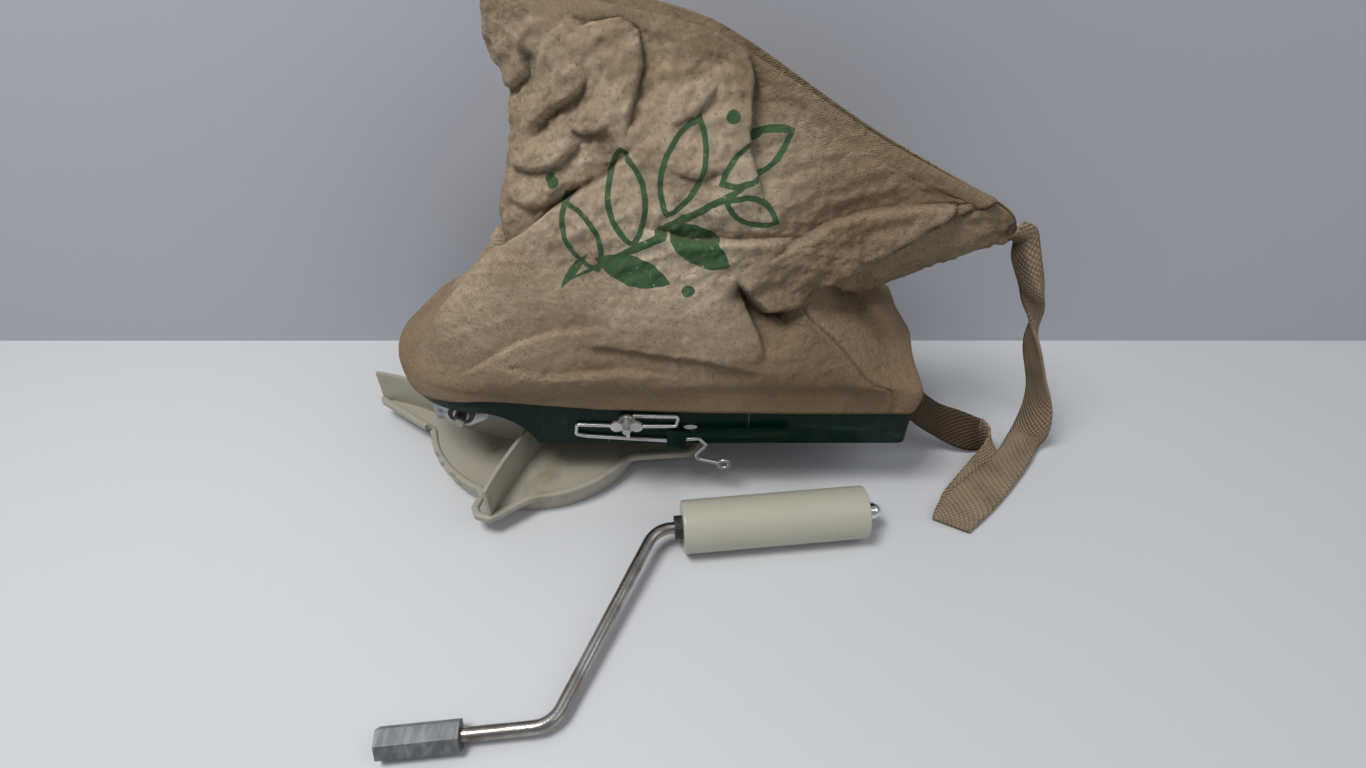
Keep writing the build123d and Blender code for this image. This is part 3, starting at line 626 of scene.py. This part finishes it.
bag = bpy.data.objects.new("canvas_bag", bag_mesh)
bpy.context.scene.collection.objects.link(bag)
bag_mesh.shade_smooth()
CANVAS_THICKNESS = 0.0011
canvas_layer = bag.modifiers.new("canvas", "SOLIDIFY")
canvas_layer.thickness = CANVAS_THICKNESS
canvas_layer.offset = 0
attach(bag, "seeder")
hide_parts("seed_bag")

canvas_finish, canvas_shader = plain_finish("stained_canvas", (0.45, 0.34, 0.23), 0.92)
canvas_tree = canvas_finish.node_tree
CANVAS_PALE = (0.96, 0.81, 0.61)
CANVAS_BROWN = (0.17, 0.102, 0.047)
# Colour of real stains, laid also over the right of the bag as painted shade.
CANVAS_STAIN_AND_SHADE = (0.20, 0.128, 0.066)


def attribute_mask(material, name, low, high):
    """A 0 to 1 mask from a mesh attribute, 0 at low and 1 at high."""
    source = material.node_tree.nodes.new("ShaderNodeAttribute")
    source.attribute_name = name
    return rising_mask(material, source.outputs["Fac"], low, high)


def joined(material, operation, first_mask, second_mask):
    """Two masks joined by a maths operation, and kept from 0 to 1."""
    tree = material.node_tree
    node = tree.nodes.new("ShaderNodeMath")
    node.operation = operation
    node.use_clamp = True
    tree.links.new(first_mask, node.inputs[0])
    tree.links.new(second_mask, node.inputs[1])
    return node.outputs[0]


canvas_patch = noise_mask(canvas_finish, 9, 0.35, 0.68, detail=6)
canvas_cloud = noise_mask(canvas_finish, 42, 0.40, 0.72, detail=8)
canvas_mottle = noise_mask(canvas_finish, 260, 0.36, 0.66, detail=6)
canvas_speck = noise_mask(canvas_finish, 620, 0.60, 0.70, detail=3)
canvas_grain = noise_mask(canvas_finish, 1500, 0.3, 0.7, detail=2)
canvas_place = canvas_tree.nodes.new("ShaderNodeTexCoord")
split = canvas_tree.nodes.new("ShaderNodeSeparateXYZ")
canvas_tree.links.new(canvas_place.outputs["Object"], split.inputs["Vector"])
low_down = rising_mask(canvas_finish, split.outputs["Z"], 0.20, 0.10)
right_side_shade = rising_mask(canvas_finish, split.outputs["X"], 0.125, 0.165)
canvas_colour = tint(canvas_finish, CANVAS_PALE, (0.29, 0.185, 0.095), canvas_patch, 0.85)
canvas_colour = tint(canvas_finish, canvas_colour, CANVAS_BROWN, low_down, 0.6)
canvas_colour = tint(canvas_finish, canvas_colour, CANVAS_STAIN_AND_SHADE, canvas_cloud, 0.38)
canvas_colour = tint(canvas_finish, canvas_colour, CANVAS_STAIN_AND_SHADE, canvas_mottle, 0.34)
# Painted shade: the cloth right of the middle, which turns away from the lamp, is painted darker.
canvas_colour = tint(canvas_finish, canvas_colour, CANVAS_STAIN_AND_SHADE, right_side_shade, 0.42)

# Painted highlight and shade: the cloth is left pale in the middle of the front, round the print,
# and painted darker away from it.
LIT_MIDDLE_PLACE = (0.098, -0.04, 0.245)
lit_middle_distance = canvas_tree.nodes.new("ShaderNodeVectorMath")
lit_middle_distance.operation = "DISTANCE"
lit_middle_distance.inputs[1].default_value = LIT_MIDDLE_PLACE
canvas_tree.links.new(canvas_place.outputs["Object"], lit_middle_distance.inputs[0])
shade_off_middle = rising_mask(canvas_finish, lit_middle_distance.outputs["Value"], 0.045, 0.11)
canvas_colour = tint(canvas_finish, canvas_colour, (0.22, 0.14, 0.072), shade_off_middle, 0.52)


def leaf_print():
    """A node group: the outline and the filled shape of one leaf on the X, Z plane."""
    group, start, end = new_group(
        "leaf_print",
        (("Place", "Vector"), ("Centre", "Vector"), ("Turn", "Float"), ("Arc Radius", "Float"),
         ("Arc Offset", "Float"), ("Half Line", "Float")),
        (("Outline", "Float"), ("Filled", "Float")),
    )
    moved = group.nodes.new("ShaderNodeVectorMath")
    moved.operation = "SUBTRACT"
    turned = group.nodes.new("ShaderNodeVectorRotate")
    turned.rotation_type = "Y_AXIS"
    parts = group.nodes.new("ShaderNodeSeparateXYZ")
    folded = group.nodes.new("ShaderNodeMath")
    folded.operation = "ABSOLUTE"
    raised = group.nodes.new("ShaderNodeMath")
    raised.operation = "ADD"
    level = group.nodes.new("ShaderNodeCombineXYZ")
    far = group.nodes.new("ShaderNodeVectorMath")
    far.operation = "LENGTH"
    beyond = group.nodes.new("ShaderNodeMath")
    beyond.operation = "SUBTRACT"
    near_edge = group.nodes.new("ShaderNodeMath")
    near_edge.operation = "ABSOLUTE"
    line = group.nodes.new("ShaderNodeMath")
    line.operation = "LESS_THAN"
    filled = group.nodes.new("ShaderNodeMath")
    filled.operation = "LESS_THAN"
    filled.inputs[1].default_value = 0
    for source, target in (
        (start.outputs["Place"], moved.inputs[0]),
        (start.outputs["Centre"], moved.inputs[1]),
        (moved.outputs["Vector"], turned.inputs["Vector"]),
        (start.outputs["Turn"], turned.inputs["Angle"]),
        (turned.outputs["Vector"], parts.inputs["Vector"]),
        (parts.outputs["Z"], folded.inputs[0]),
        (folded.outputs[0], raised.inputs[0]),
        (start.outputs["Arc Offset"], raised.inputs[1]),
        (parts.outputs["X"], level.inputs["X"]),
        (raised.outputs[0], level.inputs["Y"]),
        (level.outputs["Vector"], far.inputs[0]),
        (far.outputs["Value"], beyond.inputs[0]),
        (start.outputs["Arc Radius"], beyond.inputs[1]),
        (beyond.outputs[0], near_edge.inputs[0]),
        (near_edge.outputs[0], line.inputs[0]),
        (start.outputs["Half Line"], line.inputs[1]),
        (beyond.outputs[0], filled.inputs[0]),
        (line.outputs[0], end.inputs["Outline"]),
        (filled.outputs[0], end.inputs["Filled"]),
    ):
        group.links.new(source, target)
    return group


# The print: a plain sprig in green line. Columns: centre X and Z, turn in degrees,
# half length and half width in millimetres, and whether it is filled.
PRINT_GREEN = (0.016, 0.115, 0.036)
PRINT_HALF_LINE = 0.0016
SPRIG = (
    (52, 206, 112, 21, 9, False), (78, 226, 96, 24, 10, False), (109, 241, 70, 26, 11, False),
    (150, 243, 28, 22, 9, False), (80, 186, -20, 23, 9, True), (118, 199, -34, 22, 9, True),
    (148, 216, -30, 17, 7, False), (98, 208, 27, 66, 2.6, True), (46, 186, 52, 14, 2.4, True),
    (36, 232, 0, 4, 3.4, True), (136, 266, 0, 4, 3.4, True), (112, 174, 0, 4, 3.4, True),
)
flat_place = canvas_tree.nodes.new("ShaderNodeVectorMath")
flat_place.operation = "MULTIPLY"
flat_place.inputs[1].default_value = (1, 0, 1)
canvas_tree.links.new(canvas_place.outputs["Object"], flat_place.inputs[0])
leaf_group = leaf_print()
sprig_mask = None
for x, z, turn, half_length, half_width, filled in SPRIG:
    leaf = canvas_tree.nodes.new("ShaderNodeGroup")
    leaf.node_tree = leaf_group
    leaf.inputs["Centre"].default_value = (x * MM, 0, z * MM)
    leaf.inputs["Turn"].default_value = math.radians(turn)
    arc_radius = (half_length ** 2 + half_width ** 2) / (2 * half_width)
    leaf.inputs["Arc Radius"].default_value = arc_radius * MM
    leaf.inputs["Arc Offset"].default_value = (arc_radius - half_width) * MM
    leaf.inputs["Half Line"].default_value = PRINT_HALF_LINE
    canvas_tree.links.new(flat_place.outputs["Vector"], leaf.inputs["Place"])
    shape = leaf.outputs["Filled" if filled else "Outline"]
    if sprig_mask is None:
        sprig_mask = shape
    else:
        sprig_mask = joined(canvas_finish, "MAXIMUM", sprig_mask, shape)
front_mask = attribute_mask(canvas_finish, "front_side", 0.4, 0.6)
sprig_mask = joined(canvas_finish, "MULTIPLY", sprig_mask, front_mask)
sprig_worn = noise_mask(canvas_finish, 330, 0.80, 0.62, detail=6)
sprig_mask = joined(canvas_finish, "MULTIPLY", sprig_mask, sprig_worn)
canvas_colour = tint(canvas_finish, canvas_colour, PRINT_GREEN, sprig_mask, 0.95)
# Painted shade darkens the canvas along the sunk folds.
crease_shade_mask = attribute_mask(canvas_finish, "crease_shade", 0, 1)
canvas_colour = tint(canvas_finish, canvas_colour, (0.10, 0.065, 0.04), crease_shade_mask, 0.6)
band_mask = attribute_mask(canvas_finish, "from_mouth", 13.5, 11.5)
canvas_colour = tint(canvas_finish, canvas_colour, (0.24, 0.175, 0.10), band_mask, 0.5)
seam_mask = attribute_mask(canvas_finish, "by_seam", 2.2, 0.8)
canvas_colour = tint(canvas_finish, canvas_colour, (0.12, 0.08, 0.045), seam_mask, 0.55)
canvas_colour = tint(canvas_finish, canvas_colour, (0.10, 0.06, 0.035), canvas_speck, 0.6)
canvas_colour = tint(canvas_finish, canvas_colour, (0.62, 0.52, 0.40), canvas_grain, 0.12)
canvas_tree.links.new(canvas_colour, canvas_shader.inputs["Base Color"])
canvas_shader.inputs["Specular IOR Level"].default_value = 0.12


def weave_group():
    """A node group: the rise and fall of crossed threads over a flat place in metres."""
    group, start, end = new_group(
        "plain_weave",
        (("Flat Place", "Vector"), ("Turns per Metre", "Vector")),
        (("Height", "Float"),),
    )
    turned = group.nodes.new("ShaderNodeVectorMath")
    turned.operation = "MULTIPLY"
    sine = group.nodes.new("ShaderNodeVectorMath")
    sine.operation = "SINE"
    parts = group.nodes.new("ShaderNodeSeparateXYZ")
    height = group.nodes.new("ShaderNodeMath")
    height.operation = "MULTIPLY"
    for source, target in (
        (start.outputs["Flat Place"], turned.inputs[0]),
        (start.outputs["Turns per Metre"], turned.inputs[1]),
        (turned.outputs["Vector"], sine.inputs[0]),
        (sine.outputs["Vector"], parts.inputs["Vector"]),
        (parts.outputs["X"], height.inputs[0]),
        (parts.outputs["Y"], height.inputs[1]),
        (height.outputs[0], end.inputs["Height"]),
    ):
        group.links.new(source, target)
    return group


plain_weave = weave_group()


def woven(material, across, along):
    """Places the weave in a material by its cut's UV, and returns its height socket."""
    tree = material.node_tree
    cut = tree.nodes.new("ShaderNodeUVMap")
    cut.uv_map = "cut"
    threads = tree.nodes.new("ShaderNodeGroup")
    threads.node_tree = plain_weave
    turns = (2 * math.pi / across, 2 * math.pi / along, 1)
    threads.inputs["Turns per Metre"].default_value = turns
    tree.links.new(cut.outputs["UV"], threads.inputs["Flat Place"])
    return threads.outputs["Height"]


CANVAS_THREAD = 0.0012
canvas_weave = woven(canvas_finish, CANVAS_THREAD, CANVAS_THREAD)
bump_from(canvas_finish, canvas_shader, canvas_weave, 0.00035, 0.8)
bump_from(canvas_finish, canvas_shader, canvas_mottle, 0.0010, 0.7)
canvas_crumple = noise_mask(canvas_finish, 95, 0.2, 0.8, detail=7)
bump_from(canvas_finish, canvas_shader, canvas_crumple, 0.0013, 0.6)
bag_mesh.materials.append(canvas_finish)

# Strap. One length of brown cotton webbing, from the mouth's right corner down to a
# fold on the floor and back up to the pan's right end wall.
STRAP_WIDTH = 31
STRAP_THICKNESS = 0.0019
STEPS_BETWEEN = 10
STEPS_ACROSS = 10
# Millimetres. Columns: X, Y, Z of one edge, X, Y, Z of the other, how far the middle bows
# out, and how much painted shade lies on it where its inner side shows.
STRAP_LINE = (
    (308, -6, 184, 312, -20, 199, 7, 0.7),
    (318, -4, 178, 323, -18, 193, 8, 0.7),
    (321, -4, 164, 332, -17, 173, 9, 0.7),
    (329, -10, 146, 342, -14, 149, 10, 0.6),
    (332, -15, 136, 347, -8, 134, 9, 0.3),
    (343, -18, 117, 351, 2, 103, 5, 0),
    (352, -20, 102, 355, 4, 82, 2, 0),
    (366, -20, 71, 367, 4, 50, 0, 0),
    (375, -21, 53, 370, 2, 31, -2, 0),
    (382, -22, 34, 369, 0, 14, -4, 0),
    (385, -20, 13, 362, -9, 6, -5, 0),
    (379, -24, 5.2, 345, -31, 7.5, -2, 0),
    (369, -38, 4.2, 331, -43, 6.5, 0, 0),
    (352, -58, 3.6, 312, -57, 5, 0, 0),
    (335, -76, 3.4, 295, -72, 4, 0, 0),
    (320, -90, 3.4, 288, -81, 3.8, 0, 0),
    (307, -101, 3.2, 284, -89, 3.4, 0, 0),
)
STRAP_BACK = (
    (308, -100, 1.2, 285, -88, 1.2, 0, 0),
    (321, -88, 1.2, 291, -78, 1.2, 0, 0),
    (334, -74, 1.2, 297, -66, 1.3, 0, 0),
    (342, -60, 1.2, 312, -49, 2.5, 0, 0),
    (347, -46, 1.2, 325, -36, 6, 0, 0),
    (350, -34, 1.4, 334.6, -29, 16, 0, 0),
    (349, -27, 1.8, 336.5, -26, 27, -2, 0),
    (341, -22, 2.2, 332, -21, 32, -1, 0.5),
    (328, -24, 3, 328, -20, 33, 1, 1),
    (316, -24, 7, 314, -17, 38, 1, 1),
    (303, -23, 14, 298, -17, 45, 0, 1),
    (280, -27, 34, 280, -25, 64, 0, 1),
    (266.5, -22, 47, 266.5, -22, 77, 0, 1),
    (264.6, -10, 50, 264.6, -10, 80, 0, 1),
    (264.6, 12, 50, 264.6, 12, 80, 0, 1),
)


def strap_piece(name, stations):
    """A band of webbing through its stations, as one mesh with its length as UV."""
    table = np.array(stations, float)
    spots = np.linspace(0, len(table) - 1, (len(table) - 1) * STEPS_BETWEEN + 1)
    first = np.minimum(spots.astype(int), len(table) - 2)
    line = through(
        table[np.maximum(first - 1, 0)], table[first], table[first + 1],
        table[np.minimum(first + 2, len(table) - 1)], (spots - first)[:, None],
    )
    near, far, bow = line[:, :3], line[:, 3:6], line[:, 6]
    middle = (near + far) / 2
    along = np.gradient(middle, axis=0)
    out = np.cross(along, far - near)
    out /= np.linalg.norm(out, axis=1, keepdims=True)
    spans = np.linalg.norm(np.diff(middle, axis=0), axis=1)
    run = np.concatenate([[0], np.cumsum(spans)])
    shares = np.linspace(0, 1, STEPS_ACROSS + 1)
    points = near[:, None, :] + (far - near)[:, None, :] * shares[None, :, None]
    arch = 4 * shares * (1 - shares)
    points += out[:, None, :] * bow[:, None, None] * arch[None, :, None]
    wide = len(shares)
    faces = [
        (low + j, low + j + 1, low + wide + j + 1, low + wide + j)
        for low in range(0, (len(spots) - 1) * wide, wide) for j in range(STEPS_ACROSS)
    ]
    mesh = bpy.data.meshes.new(name)
    mesh.from_pydata((points.reshape(-1, 3) * MM).tolist(), [], faces)
    layer = mesh.uv_layers.new(name="cut")
    flat_spots = [(share * STRAP_WIDTH * MM, length * MM) for length in run for share in shares]
    layer.data.foreach_set("uv", [c for face in faces for i in face for c in flat_spots[i]])
    inner_side_shade = mesh.attributes.new("inner_side_shade", "FLOAT", "POINT")
    # Painted shade where the webbing's inner side shows, kept as a mesh attribute.
    shade_amount = line[:, 7:8]
    shade_shown = shade_amount * np.where(shade_amount > 0.9, 1, 1 - ease(shares, 0.66, 0.78))
    inner_side_shade.data.foreach_set("value", shade_shown.astype(np.float32).ravel())
    mesh.shade_smooth()
    area = sum(face.area for face in mesh.polygons)
    piece = bpy.data.objects.new(name, mesh)
    bpy.context.scene.collection.objects.link(piece)
    webbing_layer = piece.modifiers.new("webbing", "SOLIDIFY")
    webbing_layer.thickness = STRAP_THICKNESS
    webbing_layer.offset = 0
    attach(piece, "seeder")
    return piece, area / (STRAP_WIDTH * MM)


strap_finish, strap_shader = plain_finish("brown_webbing", (0.27, 0.19, 0.12), 0.95)
strap_dirt = noise_mask(strap_finish, 60, 0.4, 0.7, detail=8)
strap_speck = noise_mask(strap_finish, 900, 0.55, 0.7, detail=2)
strap_colour = tint(strap_finish, (0.34, 0.25, 0.165), (0.19, 0.13, 0.08), strap_dirt, 0.7)
strap_colour = tint(strap_finish, strap_colour, (0.48, 0.38, 0.27), strap_speck, 0.3)
THREAD_ACROSS, THREAD_ALONG = 0.0034, 0.0046
strap_weave = woven(strap_finish, THREAD_ACROSS, THREAD_ALONG)
strap_ribs = rising_mask(strap_finish, strap_weave, 0.1, 0.9)
strap_colour = tint(strap_finish, strap_colour, (0.50, 0.39, 0.27), strap_ribs, 0.45)
strap_inner_shade = attribute_mask(strap_finish, "inner_side_shade", 0.1, 0.9)
# Painted shade: the webbing is much darker where its inner side shows.
strap_colour = tint(strap_finish, strap_colour, (0.07, 0.045, 0.026), strap_inner_shade, 0.85)
strap_finish.node_tree.links.new(strap_colour, strap_shader.inputs["Base Color"])
strap_shader.inputs["Specular IOR Level"].default_value = 0.12
bump_from(strap_finish, strap_shader, strap_weave, 0.0008, 1.0)
strap_down, down_length = strap_piece("strap_hanging", STRAP_LINE)
strap_back, back_length = strap_piece("strap_to_pan", STRAP_BACK)
for piece, node, length in (
    (strap_down, "strap_drop", down_length),
    (strap_back, "strap_return", back_length),
):
    piece.data.materials.append(strap_finish)
    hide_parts(node)
